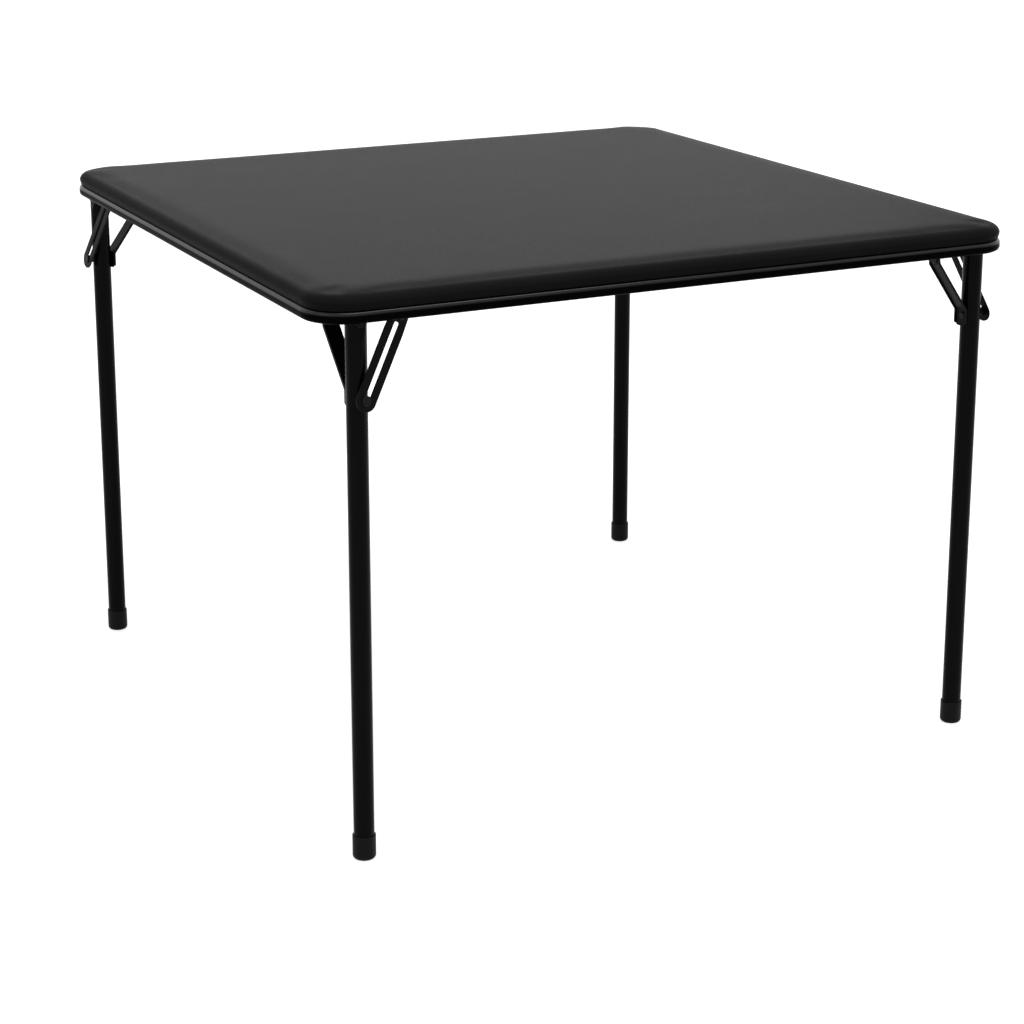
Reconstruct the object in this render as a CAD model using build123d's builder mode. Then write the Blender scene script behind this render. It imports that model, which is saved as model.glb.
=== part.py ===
from build123d import *
import os
from math import atan2, cos, degrees, radians, sin
from types import SimpleNamespace

# Square folding card table with a padded top and four legs that fold in a pinwheel under it.
# Millimetres, +Z up, origin on the floor under the middle of the top. The front left corner
# lies at -X -Y, and the other three corners are the same mechanism turned by 90, 180 and 270.
# Each corner has one tilted hinge axis: "outward" is along it, "along" is the folding way.

# Overall sizes
TOP_SIDE = 958.0
TABLE_HEIGHT = 699.0
TOP_THICKNESS = 36.0
FOOT_SPAN = 947.0
CORNER_RADIUS = 52.0

# Rim, a rolled steel channel round the top
RIM_HEIGHT = 14.5
RIM_SHEET = 1.2
RIM_FLANGE = 12.0
RIM_LIP = 10.0
RIM_ROLL = 5.0
RIM_SCREW_INSET = 8.5
RIM_SCREWS_PER_SIDE = 3
RIM_SCREW_SPREAD_SHARE = 0.6

# Padded top: vinyl over foam over board
PAD_INSET = 2.5
VINYL_THICKNESS = 1.0
BOARD_THICKNESS = 6.0
PAD_ROLL = 9.0
PAD_SHOULDER = 45.0
PAD_SHOULDER_ANGLE = 6.0
PAD_GAP = 0.2

# Legs: round steel tube, pressed flat on the outer flank of its head
LEG_DIAMETER = 25.4
LEG_WALL = 1.2
HEAD_INSET_ALONG = 55.6
HEAD_INSET_ACROSS = 25.1
FOOT_INSET_ALONG = 50.5
HEAD_ROUND = 12.0

# Plastic foot caps
CAP_WALL = 1.6
CAP_HEIGHT = 31.0
CAP_FLOOR = 4.0
CAP_ROUNDING = 5.0
CAP_SOLE = 0.4
CAP_MOUTH_CHAMFER = 0.8

# Hinge axis of a leg, and how far out from the middle of the tube its head is flat
HINGE_DROP = 15.5
HINGE_SKEW = 7.0
LINK_TILT = 8.04
HINGE_OFFSET = 9.6

# Slotted locking stay
STAY_THICKNESS = 2.0
STAY_WIDTH = 26.0
STAY_EYE_RADIUS = 12.0
STAY_SHOULDER = 20.0
STAY_SLOT_WIDTH = 6.6
STAY_SLOT_START = 11.0
STAY_PIVOT_ALONG = 52.5
STAY_PIVOT_DROP = 1.0
STAY_EDGE = 0.4
LOCK_REACH = 93.0

# Side strut, a shallow pressed channel
STRUT_WIDTH = 20.5
STRUT_SHEET = 1.5
STRUT_DEPTH = 3.5
STRUT_BEND = 6.0
STRUT_TAB_ABOVE = 7.5
STRUT_TAB_BELOW = 14.5
STRUT_TAB_ROUND = 7.0
STRUT_SHIFT = 2.9
STRUT_SPREAD = 74.5
STRUT_EAR_BELOW = 5.5
STRUT_EAR_ABOVE = 8.0

# Corner bracket
BRACKET_SHEET = 2.0
BRACKET_BACK_WIDTH = 30.5
BRACKET_FRONT = 64.0
BRACKET_INNER = 80.0
BRACKET_INNER_WIDTH = 12.0
BRACKET_INNER_FRONT = 6.0
BRACKET_LOBE = 9.0
BRACKET_WALL_DROP = 4.0
LUG_WIDTH = 16.0
BRACKET_CORNER = 3.0
SCREW_FIRST = 10.0
SCREW_STRIP_INSET = 5.3

# Rivets and screws
RIVET_RADIUS = 3.0
RIVET_HEAD_RADIUS = 5.5
RIVET_HEAD_HEIGHT = 2.2
RIVET_TAIL_RADIUS = 4.6
RIVET_TAIL_HEIGHT = 1.0
COLLAR_RADIUS = 5.0
PIN_FLANGE_RADIUS = 5.4
PIN_FLANGE_THICKNESS = 1.0
PIN_HEAD_RADIUS = 6.0
PIN_HEAD_HEIGHT = 1.6
SCREW_RADIUS = 1.75
SCREW_HEAD_RADIUS = 3.2
SCREW_HEAD_HEIGHT = 2.0
SCREW_BITE = 4.5
HEAD_BEVEL = 0.8

# Clearances
SIDE_GAP = 0.3
PIVOT_GAP = 0.06
FIT_GAP = 0.05
PIN_GAP = 0.3
OVERRUN = 5.0

UP = Vector(0, 0, 1)
CORNERS = {"front_left": 0, "front_right": 90, "back_right": 180, "back_left": 270}

# Sizes and heights worked out from the ones above
leg_radius = LEG_DIAMETER / 2
cap_radius = leg_radius + CAP_WALL
pad_half = TOP_SIDE / 2 - PAD_INSET
pad_corner = CORNER_RADIUS - PAD_INSET
rim_bottom = TABLE_HEIGHT - TOP_THICKNESS
rim_top = rim_bottom + RIM_HEIGHT
board_bottom = rim_top + VINYL_THICKNESS
board_top = board_bottom + BOARD_THICKNESS
base_bottom = board_bottom - BRACKET_SHEET
hinge_height = board_bottom - HINGE_DROP
head_across = TOP_SIDE / 2 - HEAD_INSET_ACROSS
foot_across = FOOT_SPAN / 2 - cap_radius
hinge_tilt = radians(LINK_TILT) + atan2(foot_across - head_across, hinge_height)
bracket_back = HEAD_INSET_ALONG - RIM_FLANGE - SIDE_GAP
bracket_outer = HEAD_INSET_ACROSS - RIM_FLANGE - SIDE_GAP
bracket_round = CORNER_RADIUS - RIM_FLANGE - SIDE_GAP

# Levels across the linkage, measured outward from the flat at the leg's head
wall_inner = SIDE_GAP
wall_outer = wall_inner + BRACKET_SHEET
stay_outer = wall_inner - SIDE_GAP
stay_inner = stay_outer - STAY_THICKNESS
flange_outer = stay_inner - SIDE_GAP
flange_inner = flange_outer - PIN_FLANGE_THICKNESS
collar_end = flange_inner - SIDE_GAP
pin_head_level = stay_outer + SIDE_GAP
lug_outer = -STRUT_SPREAD - STRUT_SHEET - SIDE_GAP
lug_inner = lug_outer - BRACKET_SHEET


def turned(vector, turn):
    """A vector of the front left corner, turned about the middle of the table."""
    return vector.rotate(Axis.Z, turn)


def corner_frame(turn):
    """Planes and points of one corner's hinge, leg and stay."""
    foot = turned(Vector(FOOT_INSET_ALONG - TOP_SIDE / 2, -foot_across, 0), turn)
    head = turned(Vector(HEAD_INSET_ALONG - TOP_SIDE / 2, -head_across, hinge_height), turn)
    skew = radians(HINGE_SKEW)
    flat = cos(hinge_tilt)
    outward = turned(Vector(sin(skew) * flat, -cos(skew) * flat, sin(hinge_tilt)), turn)
    along = turned(Vector(cos(skew), sin(skew), 0), turn)
    up_leg = (head - foot).normalized()
    side = up_leg.cross(outward).normalized()
    radial = side.cross(up_leg)
    link = Plane(origin=head + outward * HINGE_OFFSET, x_dir=along, z_dir=outward)
    pin = link.to_local_coords(head - up_leg * LOCK_REACH)
    pivot = Vector(STAY_PIVOT_ALONG, -STAY_PIVOT_DROP, 0)
    seat = link.from_local_coords(Vector(pin.X, pin.Y, collar_end))
    lock_point = head + up_leg * (seat - head).dot(up_leg)
    stay_way = (link.from_local_coords(Vector(pin.X, pin.Y, 0)) - link.from_local_coords(pivot))
    return SimpleNamespace(
        turn=turn, foot=foot, head=head, outward=outward, along=along, up_leg=up_leg, side=side,
        radial=radial, link=link, pin=Vector(pin.X, pin.Y, 0), pivot=pivot, seat=seat,
        lock_point=lock_point, stay_way=stay_way,
        leg=Plane(origin=foot, x_dir=side, z_dir=up_leg),
        base=Plane(origin=Vector(head.X, head.Y, base_bottom), x_dir=turned(Vector(1, 0, 0), turn),
                   z_dir=UP))


def link_plane(corner, level, at=Vector(0, 0, 0)):
    """A plane square to the hinge axis, centred on a point of the linkage."""
    origin = corner.link.from_local_coords(Vector(at.X, at.Y, level))
    return Plane(origin=origin, x_dir=corner.along, z_dir=corner.outward)


def rounded_square_path(half, radius, height):
    """The closed line round a square with rounded corners, from the middle of the front side."""
    straight = half - radius
    with BuildLine(Plane.XY.offset(height)) as path:
        Line((0, -half), (straight, -half))
        JernArc(path.line @ 1, (1, 0), radius, 90)
        Line(path.line @ 1, (half, straight))
        JernArc(path.line @ 1, (0, 1), radius, 90)
        Line(path.line @ 1, (-straight, half))
        JernArc(path.line @ 1, (-1, 0), radius, 90)
        Line(path.line @ 1, (-half, -straight))
        JernArc(path.line @ 1, (0, -1), radius, 90)
        Line(path.line @ 1, (0, -half))
    return path.line


def edge_plane(half):
    """The section plane at the front edge: x runs inward from the edge, y runs up."""
    return Plane(origin=(0, -half, 0), x_dir=(0, 1, 0), z_dir=(1, 0, 0))


def save(part, name):
    """Label a finished piece and write it under its node's name."""
    part.label = name
    export_step(part, f"parts/{name}.step")


def shoulder_line(inset):
    """The pad's edge line at a depth under the vinyl: up the side, round the roll, over the top."""
    roll = PAD_ROLL - inset
    spread = radians(PAD_SHOULDER_ANGLE)
    crown_radius = (PAD_SHOULDER - PAD_ROLL * (1 - sin(spread))) / sin(spread) - inset
    rise = roll * cos(spread) + crown_radius * (1 - cos(spread))
    start = (inset, TABLE_HEIGHT - inset - rise)
    return roll, crown_radius, start


# Top


def build_cover():
    """Vinyl skin: flat top, sloping shoulder, rolled edge, and a hem turned in under the board."""
    hem = RIM_FLANGE - PAD_INSET
    with BuildPart() as vinyl_cover:
        with BuildSketch(edge_plane(pad_half)):
            with BuildLine():
                roll, crown_radius, start = shoulder_line(0)
                side = Line((0, rim_top), start)
                edge = JernArc(side @ 1, (0, 1), roll, PAD_SHOULDER_ANGLE - 90)
                crown = JernArc(edge @ 1, edge % 1, crown_radius, -PAD_SHOULDER_ANGLE)
                roll, crown_radius, start = shoulder_line(VINYL_THICKNESS)
                inner_side = Line((VINYL_THICKNESS, board_bottom), start)
                inner_edge = JernArc(inner_side @ 1, (0, 1), roll, PAD_SHOULDER_ANGLE - 90)
                inner_crown = JernArc(inner_edge @ 1, inner_edge % 1, crown_radius, -PAD_SHOULDER_ANGLE)
                Line(crown @ 1, inner_crown @ 1)
                Polyline(inner_side @ 0, (hem, board_bottom), (hem, rim_top), side @ 0)
            make_face()
        sweep(path=rounded_square_path(pad_half, pad_corner, 0))
        with BuildSketch(Plane.XY.offset(TABLE_HEIGHT - VINYL_THICKNESS)):
            flat = 2 * (pad_half - PAD_SHOULDER)
            RectangleRounded(flat, flat, pad_corner - PAD_SHOULDER)
        extrude(amount=VINYL_THICKNESS)
        with BuildSketch(Plane.XY.offset(rim_top)):
            with Locations(*[(spot.X, spot.Y) for spot in rim_screw_spots()]):
                Circle(SCREW_RADIUS + FIT_GAP)
        extrude(amount=VINYL_THICKNESS, mode=Mode.SUBTRACT)
    save(vinyl_cover.part, "vinyl_cover")


def build_foam():
    """Foam slab that fills the cover above the board, with the same shoulder and roll."""
    inset = VINYL_THICKNESS + PAD_GAP
    roll, crown_radius, start = shoulder_line(inset)
    with BuildPart() as foam_pad:
        with BuildSketch(edge_plane(pad_half)):
            with BuildLine():
                side = Line((inset, board_top), start)
                edge = JernArc(side @ 1, (0, 1), roll, PAD_SHOULDER_ANGLE - 90)
                crown = JernArc(edge @ 1, edge % 1, crown_radius, -PAD_SHOULDER_ANGLE)
                Polyline(crown @ 1, (PAD_SHOULDER, board_top), side @ 0)
            make_face()
        sweep(path=rounded_square_path(pad_half, pad_corner, 0))
        with BuildSketch(Plane.XY.offset(board_top)):
            flat = 2 * (pad_half - PAD_SHOULDER)
            RectangleRounded(flat, flat, pad_corner - PAD_SHOULDER)
        extrude(amount=TABLE_HEIGHT - inset - board_top)
    save(foam_pad.part, "foam_pad")


def rim_screw_spots():
    """Where the screws go up through the rim's flange, in the plane of the top."""
    spread = TOP_SIDE * RIM_SCREW_SPREAD_SHARE / (RIM_SCREWS_PER_SIDE - 1)
    reach = TOP_SIDE / 2 - RIM_SCREW_INSET
    spots = []
    for turn in CORNERS.values():
        for count in range(RIM_SCREWS_PER_SIDE):
            shift = (count - (RIM_SCREWS_PER_SIDE - 1) / 2) * spread
            spots.append(turned(Vector(shift, -reach, 0), turn))
    return spots


def bracket_screw_spots(corner):
    """Where the screws go up through one bracket's base, on the base's plane."""
    back = BRACKET_BACK_WIDTH / 2 - bracket_back
    spots = [(back, SCREW_FIRST), (back, (SCREW_FIRST + BRACKET_INNER - BRACKET_LOBE) / 2),
             (back, BRACKET_INNER - BRACKET_LOBE),
             (BRACKET_FRONT - BRACKET_LOBE, SCREW_STRIP_INSET - bracket_outer)]
    return [corner.base.from_local_coords(Vector(x, y, 0)) for x, y in spots]


def build_board(corners):
    """Board under the foam, with the pilot holes of every screw."""
    inset = VINYL_THICKNESS + PAD_GAP
    side = 2 * (pad_half - inset)
    spots = rim_screw_spots() + [spot for corner in corners for spot in bracket_screw_spots(corner)]
    with BuildPart() as top_board:
        with BuildSketch(Plane.XY.offset(board_bottom)):
            RectangleRounded(side, side, pad_corner - inset)
            with Locations(*[(spot.X, spot.Y) for spot in spots]):
                Circle(SCREW_RADIUS + FIT_GAP, mode=Mode.SUBTRACT)
        extrude(amount=BOARD_THICKNESS)
    save(top_board.part, "top_board")


def build_rim():
    """Rolled channel: a flange under the pad, a rounded outer face and a lip turned in below."""
    half = TOP_SIDE / 2
    with BuildPart() as frame_rim:
        with BuildSketch(edge_plane(half)):
            with BuildLine() as section:
                FilletPolyline((RIM_FLANGE, rim_top), (0, rim_top), (0, rim_bottom),
                               (RIM_LIP, rim_bottom), radius=RIM_ROLL)
                offset(amount=RIM_SHEET, side=Side.LEFT, closed=True)
            make_face()
        sweep(path=rounded_square_path(half, CORNER_RADIUS, 0))
        with BuildSketch(Plane.XY.offset(rim_top)):
            with Locations(*[(spot.X, spot.Y) for spot in rim_screw_spots()]):
                Circle(SCREW_RADIUS + FIT_GAP)
        extrude(amount=-(RIM_SHEET + OVERRUN / 2), mode=Mode.SUBTRACT)
    save(frame_rim.part, "frame_rim")


def build_screws(name, spots, under, hold):
    """Pan-head screws that point up: the head under a sheet, the shank through it into the board."""
    with BuildPart() as screws:
        for spot in spots:
            with BuildSketch(Plane(origin=(spot.X, spot.Y, under), z_dir=-UP)):
                Circle(SCREW_HEAD_RADIUS)
            extrude(amount=SCREW_HEAD_HEIGHT, taper=degrees(HEAD_BEVEL / SCREW_HEAD_HEIGHT) / 2)
            with BuildSketch(Plane(origin=(spot.X, spot.Y, under), z_dir=UP)):
                Circle(SCREW_RADIUS)
            extrude(amount=hold + SCREW_BITE)
    save(screws.part, name)


# Corner mechanism


def build_bracket(corner, name):
    """Pressed bracket: a base under the board, a wall for leg and stay, and a lug for the strut."""
    room = bracket_back - BRACKET_BACK_WIDTH
    with BuildPart() as hinge_bracket:
        with BuildSketch(corner.base):
            with BuildLine():
                Polyline((-bracket_back, -bracket_outer), (BRACKET_FRONT, -bracket_outer),
                         (BRACKET_FRONT, BRACKET_LOBE), (BRACKET_INNER_FRONT, BRACKET_LOBE),
                         (BRACKET_INNER_FRONT, BRACKET_INNER), (-bracket_back, BRACKET_INNER), close=True)
            make_face()
        extrude(amount=BRACKET_SHEET)
        outer_corner = corner.base.from_local_coords(Vector(-bracket_back, -bracket_outer, 0))
        uprights = hinge_bracket.edges().filter_by(Axis.Z).sort_by_distance(outer_corner)
        fillet(uprights[0], bracket_round)
        fillet(hinge_bracket.edges().filter_by(Axis.Z).sort_by_distance(outer_corner)[2:], BRACKET_CORNER)
        with BuildSketch(link_plane(corner, wall_inner)):
            with Locations((-room, 0)):
                Rectangle(2 * BRACKET_FRONT, 2 * BRACKET_FRONT, align=(Align.MIN, Align.CENTER))
        extrude(amount=-(STRUT_SPREAD - BRACKET_INNER_WIDTH + wall_inner), mode=Mode.SUBTRACT)
        with BuildSketch(link_plane(corner, wall_inner)):
            with Locations((-room, -BRACKET_WALL_DROP)):
                Rectangle(room + STAY_PIVOT_ALONG + BRACKET_LOBE, HINGE_DROP + BRACKET_WALL_DROP,
                          align=(Align.MIN, Align.MIN))
            with Locations((0, 0), (corner.pivot.X, corner.pivot.Y)):
                Circle(BRACKET_LOBE)
                Circle(RIVET_RADIUS + FIT_GAP, mode=Mode.SUBTRACT)
        extrude(amount=BRACKET_SHEET)
        with BuildSketch(link_plane(corner, lug_outer)):
            drop = HINGE_DROP - lug_inner * sin(hinge_tilt)
            Rectangle(LUG_WIDTH, drop, align=(Align.CENTER, Align.MIN))
            Circle(LUG_WIDTH / 2)
            Circle(RIVET_RADIUS + FIT_GAP, mode=Mode.SUBTRACT)
        extrude(amount=-BRACKET_SHEET)
        split(bisect_by=Plane.XY.offset(board_bottom), keep=Keep.BOTTOM)
        for spot in bracket_screw_spots(corner):
            with BuildSketch(Plane(origin=spot, z_dir=UP)):
                Circle(SCREW_RADIUS + FIT_GAP)
            extrude(amount=BRACKET_SHEET, mode=Mode.SUBTRACT)
    save(hinge_bracket.part, name)


def build_leg(corner, name):
    """Round tube with one flank of its head pressed flat, square to the hinge axis."""
    reach = (corner.head - corner.foot).length + LEG_DIAMETER
    with BuildPart() as leg_tube:
        with BuildSketch(corner.leg.offset(CAP_FLOOR)):
            Circle(leg_radius)
        extrude(amount=reach)
        split(bisect_by=link_plane(corner, 0), keep=Keep.BOTTOM)
        with BuildPart(mode=Mode.SUBTRACT):
            with BuildSketch(corner.leg.offset(CAP_FLOOR)):
                Circle(leg_radius - LEG_WALL)
            extrude(amount=reach)
            split(bisect_by=link_plane(corner, -LEG_WALL), keep=Keep.BOTTOM)
        with BuildSketch(link_plane(corner, OVERRUN)):
            Rectangle(2 * LEG_DIAMETER, 2 * LEG_DIAMETER, align=(Align.CENTER, Align.MIN))
            Circle(HEAD_ROUND, mode=Mode.SUBTRACT)
        extrude(amount=-3 * LEG_DIAMETER, mode=Mode.SUBTRACT)
        with BuildSketch(link_plane(corner, 0)):
            Circle(RIVET_RADIUS + PIVOT_GAP)
        extrude(amount=-2 * LEG_WALL, mode=Mode.SUBTRACT)
        with BuildSketch(Plane(origin=corner.lock_point, x_dir=corner.side, z_dir=corner.radial)):
            Circle(RIVET_RADIUS + FIT_GAP)
        extrude(amount=LEG_DIAMETER, both=True, mode=Mode.SUBTRACT)
    save(leg_tube.part, name)


def build_cap(corner, name):
    """Cup-shaped cap over the foot of the tube, cut flat on the floor."""
    with BuildPart() as foot_cap:
        with BuildSketch(corner.leg.offset(-CAP_SOLE)):
            Circle(cap_radius)
        extrude(amount=CAP_HEIGHT + CAP_SOLE)
        fillet(foot_cap.faces().sort_by(Axis.Z)[0].edges(), CAP_ROUNDING)
        split(bisect_by=Plane.XY, keep=Keep.TOP)
        with BuildSketch(corner.leg.offset(CAP_FLOOR)):
            Circle(leg_radius + FIT_GAP)
        extrude(amount=CAP_HEIGHT, mode=Mode.SUBTRACT)
        mouth = foot_cap.faces().sort_by(Axis.Z)[-1]
        chamfer(mouth.edges().sort_by(SortBy.LENGTH)[-1], CAP_MOUTH_CHAMFER)
    save(foot_cap.part, name)


def build_strut(corner, name):
    """Channel bent twice: a tab on the leg, a slanting run, and an ear on the hinge axis."""
    plane = Plane(origin=corner.lock_point + corner.side * STRUT_SHIFT, x_dir=-corner.radial,
                  z_dir=corner.side)
    ear = corner.link.from_local_coords(Vector(0, 0, -STRUT_SPREAD))
    ear_up = corner.link.y_dir
    points = [plane.to_local_coords(spot) for spot in (
        corner.lock_point - corner.radial * (leg_radius + FIT_GAP) - corner.up_leg * STRUT_TAB_BELOW,
        corner.lock_point - corner.radial * (leg_radius + FIT_GAP) + corner.up_leg * STRUT_TAB_ABOVE,
        ear - ear_up * STRUT_EAR_BELOW,
        ear + ear_up * STRUT_EAR_ABOVE)]
    outline = [(spot.X, spot.Y) for spot in points]
    with BuildPart() as side_strut:
        with BuildSketch(plane):
            with BuildLine():
                FilletPolyline(*outline, radius=STRUT_BEND)
                offset(amount=STRUT_DEPTH, side=Side.RIGHT, closed=True)
            make_face()
        extrude(amount=STRUT_WIDTH / 2, both=True)
        with BuildSketch(plane):
            with BuildLine():
                FilletPolyline(*outline, radius=STRUT_BEND)
                offset(amount=STRUT_SHEET, side=Side.RIGHT, closed=False, mode=Mode.REPLACE)
                offset(amount=STRUT_DEPTH, side=Side.RIGHT, closed=True)
            make_face()
        extrude(amount=STRUT_WIDTH / 2 - STRUT_SHEET, both=True, mode=Mode.SUBTRACT)
        with BuildSketch(link_plane(corner, -STRUT_SPREAD - STRUT_SHEET)):
            Rectangle(2 * STRUT_WIDTH, STRUT_EAR_ABOVE + STRUT_EAR_BELOW + OVERRUN)
        extrude(amount=-STRUT_DEPTH, mode=Mode.SUBTRACT)
        with BuildSketch(link_plane(corner, -STRUT_SPREAD - STRUT_SHEET)):
            Circle(RIVET_RADIUS + PIVOT_GAP)
        extrude(amount=STRUT_DEPTH, both=True, mode=Mode.SUBTRACT)
        tab = Plane(origin=plane.origin, x_dir=-corner.side, z_dir=-corner.radial)
        with BuildSketch(tab):
            with Locations((0, -STRUT_TAB_BELOW)):
                Rectangle(STRUT_WIDTH + OVERRUN, 2 * STRUT_TAB_ROUND)
            with Locations((0, STRUT_TAB_ROUND - STRUT_TAB_BELOW + OVERRUN / 2)):
                RectangleRounded(STRUT_WIDTH, 2 * STRUT_TAB_ROUND + OVERRUN, STRUT_TAB_ROUND,
                                 mode=Mode.SUBTRACT)
        extrude(amount=LEG_DIAMETER, mode=Mode.SUBTRACT)
        with BuildSketch(Plane(origin=corner.lock_point, x_dir=corner.side, z_dir=-corner.radial)):
            Circle(RIVET_RADIUS + FIT_GAP)
        extrude(amount=LEG_DIAMETER, mode=Mode.SUBTRACT)
    save(side_strut.part, name)


def build_stay(corner, name):
    """Flat slotted bar: an eye on the bracket's wall, and a long slot that rides on the lock pin."""
    reach = corner.stay_way.length
    origin = corner.link.from_local_coords(Vector(corner.pivot.X, corner.pivot.Y, stay_inner))
    plane = Plane(origin=origin, x_dir=corner.stay_way, z_dir=corner.outward)
    with BuildPart() as lock_stay:
        with BuildSketch(plane):
            Circle(STAY_EYE_RADIUS)
            with Locations((STAY_SHOULDER, 0), (reach, 0)):
                Circle(STAY_WIDTH / 2)
            make_hull()
            with Locations(((STAY_SLOT_START + reach) / 2, 0)):
                SlotCenterToCenter(reach - STAY_SLOT_START, STAY_SLOT_WIDTH, mode=Mode.SUBTRACT)
            Circle(RIVET_RADIUS + PIVOT_GAP, mode=Mode.SUBTRACT)
        extrude(amount=STAY_THICKNESS)
        rims = lock_stay.faces().filter_by(lambda face: abs(face.normal_at().dot(corner.outward)) > 0.99)
        chamfer([edge for face in rims for edge in face.outer_wire().edges()], STAY_EDGE)
    save(lock_stay.part, name)


def riveted(corner, at, low, high, head_low, name):
    """A rivet along the hinge axis: shank from low to high, with a head at one end, a tail at the other."""
    head = (RIVET_HEAD_RADIUS, RIVET_HEAD_HEIGHT)
    tail = (RIVET_TAIL_RADIUS, RIVET_TAIL_HEIGHT)
    first, last = (head, tail) if head_low else (tail, head)
    with BuildPart() as rivet:
        with BuildSketch(link_plane(corner, low, at)):
            Circle(RIVET_RADIUS)
        extrude(amount=high - low)
        for level, way, (radius, height) in ((low, -1, first), (high, 1, last)):
            with BuildSketch(link_plane(corner, level, at)):
                Circle(radius)
            extrude(amount=way * height)
            tip = rivet.faces().sort_by(Axis(corner.link.origin, corner.outward))[0 if way < 0 else -1]
            chamfer(tip.edges(), HEAD_BEVEL)
    save(rivet.part, name)


def build_tab_rivet(corner, name):
    """Rivet through the leg and the strut's tab, with a long collar that holds off the lock pin."""
    inner = leg_radius + FIT_GAP + STRUT_SHEET
    plane = Plane(origin=corner.lock_point, x_dir=corner.side, z_dir=corner.radial)
    with BuildPart() as tab_rivet:
        with BuildSketch(plane.offset(-inner - FIT_GAP)):
            Circle(RIVET_RADIUS)
        extrude(amount=inner + FIT_GAP + leg_radius + COLLAR_RADIUS)
        with BuildSketch(plane.offset(-inner - FIT_GAP)):
            Circle(RIVET_TAIL_RADIUS)
        extrude(amount=-RIVET_HEAD_HEIGHT)
        tip = tab_rivet.faces().sort_by(Axis(corner.lock_point, corner.radial))[0]
        chamfer(tip.edges(), HEAD_BEVEL)
        with BuildSketch(plane.offset(leg_radius + FIT_GAP)):
            Circle(COLLAR_RADIUS)
        extrude(amount=2 * COLLAR_RADIUS)
        split(bisect_by=link_plane(corner, collar_end), keep=Keep.BOTTOM)
    save(tab_rivet.part, name)


def build_lock_pin(corner, name):
    """The headed end that slides in the stay's slot: flange, shank and round head."""
    with BuildPart() as lock_pin:
        with BuildSketch(link_plane(corner, flange_inner, corner.pin)):
            Circle(PIN_FLANGE_RADIUS)
        extrude(amount=PIN_FLANGE_THICKNESS)
        with BuildSketch(link_plane(corner, flange_outer, corner.pin)):
            Circle(STAY_SLOT_WIDTH / 2 - PIN_GAP)
        extrude(amount=pin_head_level - flange_outer)
        with BuildSketch(link_plane(corner, pin_head_level, corner.pin)):
            Circle(PIN_HEAD_RADIUS)
        extrude(amount=PIN_HEAD_HEIGHT)
        tip = lock_pin.faces().sort_by(Axis(corner.link.origin, corner.outward))[-1]
        chamfer(tip.edges(), HEAD_BEVEL)
    save(lock_pin.part, name)


os.makedirs("parts", exist_ok=True)
corners = {place: corner_frame(turn) for place, turn in CORNERS.items()}

build_cover()
build_foam()
build_board(corners.values())
build_rim()
build_screws("rim_screws", rim_screw_spots(), rim_top - RIM_SHEET, RIM_SHEET + VINYL_THICKNESS)
bracket_spots = [spot for corner in corners.values() for spot in bracket_screw_spots(corner)]
build_screws("bracket_screws", bracket_spots, base_bottom, BRACKET_SHEET)

for place, corner in corners.items():
    origin = Vector(0, 0, 0)
    build_bracket(corner, f"hinge_bracket_{place}")
    build_leg(corner, f"leg_tube_{place}")
    build_cap(corner, f"foot_cap_{place}")
    build_strut(corner, f"side_strut_{place}")
    build_stay(corner, f"lock_stay_{place}")
    riveted(corner, origin, -LEG_WALL - SIDE_GAP, wall_outer, True, f"hinge_rivet_{place}")
    riveted(corner, corner.pivot, stay_inner - SIDE_GAP, wall_outer, False, f"stay_rivet_{place}")
    riveted(corner, origin, lug_inner, -STRUT_SPREAD + SIDE_GAP, True, f"strut_rivet_{place}")
    build_tab_rivet(corner, f"tab_rivet_{place}")
    build_lock_pin(corner, f"lock_pin_{place}")
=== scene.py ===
"""Square folding card table: black padded vinyl top, rolled steel rim, folding tube legs.

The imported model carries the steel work, the board, the screws and the foot caps. This file
dresses them: it pads and upholsters the top and gives every surface its finish. Specular
levels and lamps are matched to the photograph together, so the levels are lower than those
of the real materials.
"""

import logging
import math
from abc import ABC, abstractmethod
from dataclasses import dataclass
from enum import Enum
from typing import Any

import bmesh
import bpy
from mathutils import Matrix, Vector

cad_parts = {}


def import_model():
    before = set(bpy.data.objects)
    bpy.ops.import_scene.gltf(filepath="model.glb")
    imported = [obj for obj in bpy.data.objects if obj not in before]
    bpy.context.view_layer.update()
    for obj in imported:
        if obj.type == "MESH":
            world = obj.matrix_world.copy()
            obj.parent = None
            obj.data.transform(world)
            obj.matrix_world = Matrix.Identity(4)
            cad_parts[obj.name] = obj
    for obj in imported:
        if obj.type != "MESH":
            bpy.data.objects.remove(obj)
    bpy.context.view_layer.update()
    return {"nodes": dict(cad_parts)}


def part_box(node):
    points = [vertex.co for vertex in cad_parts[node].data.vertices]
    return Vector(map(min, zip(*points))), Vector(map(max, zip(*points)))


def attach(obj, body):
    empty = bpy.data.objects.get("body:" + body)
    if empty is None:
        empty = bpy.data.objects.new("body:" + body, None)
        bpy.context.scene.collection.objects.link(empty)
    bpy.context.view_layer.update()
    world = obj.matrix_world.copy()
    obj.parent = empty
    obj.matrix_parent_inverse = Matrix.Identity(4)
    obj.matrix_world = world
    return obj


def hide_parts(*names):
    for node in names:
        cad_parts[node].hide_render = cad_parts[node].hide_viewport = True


LOG = logging.getLogger("card_table")
CORNERS = ("front_left", "front_right", "back_right", "back_left")
Place = tuple[float, float, float]

MM_IN_METRE = 1000.0
TINY = 1e-9
WHITE = (1, 1, 1, 1)

# Scale at which a wave texture draws about one band to each unit of its pattern.
ONE_BAND = 0.31

# Sensor width that the focal length is turned into, and the picture's width in pixels.
SENSOR_MM = 36.0
PICTURE_WIDTH = 1024


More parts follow.
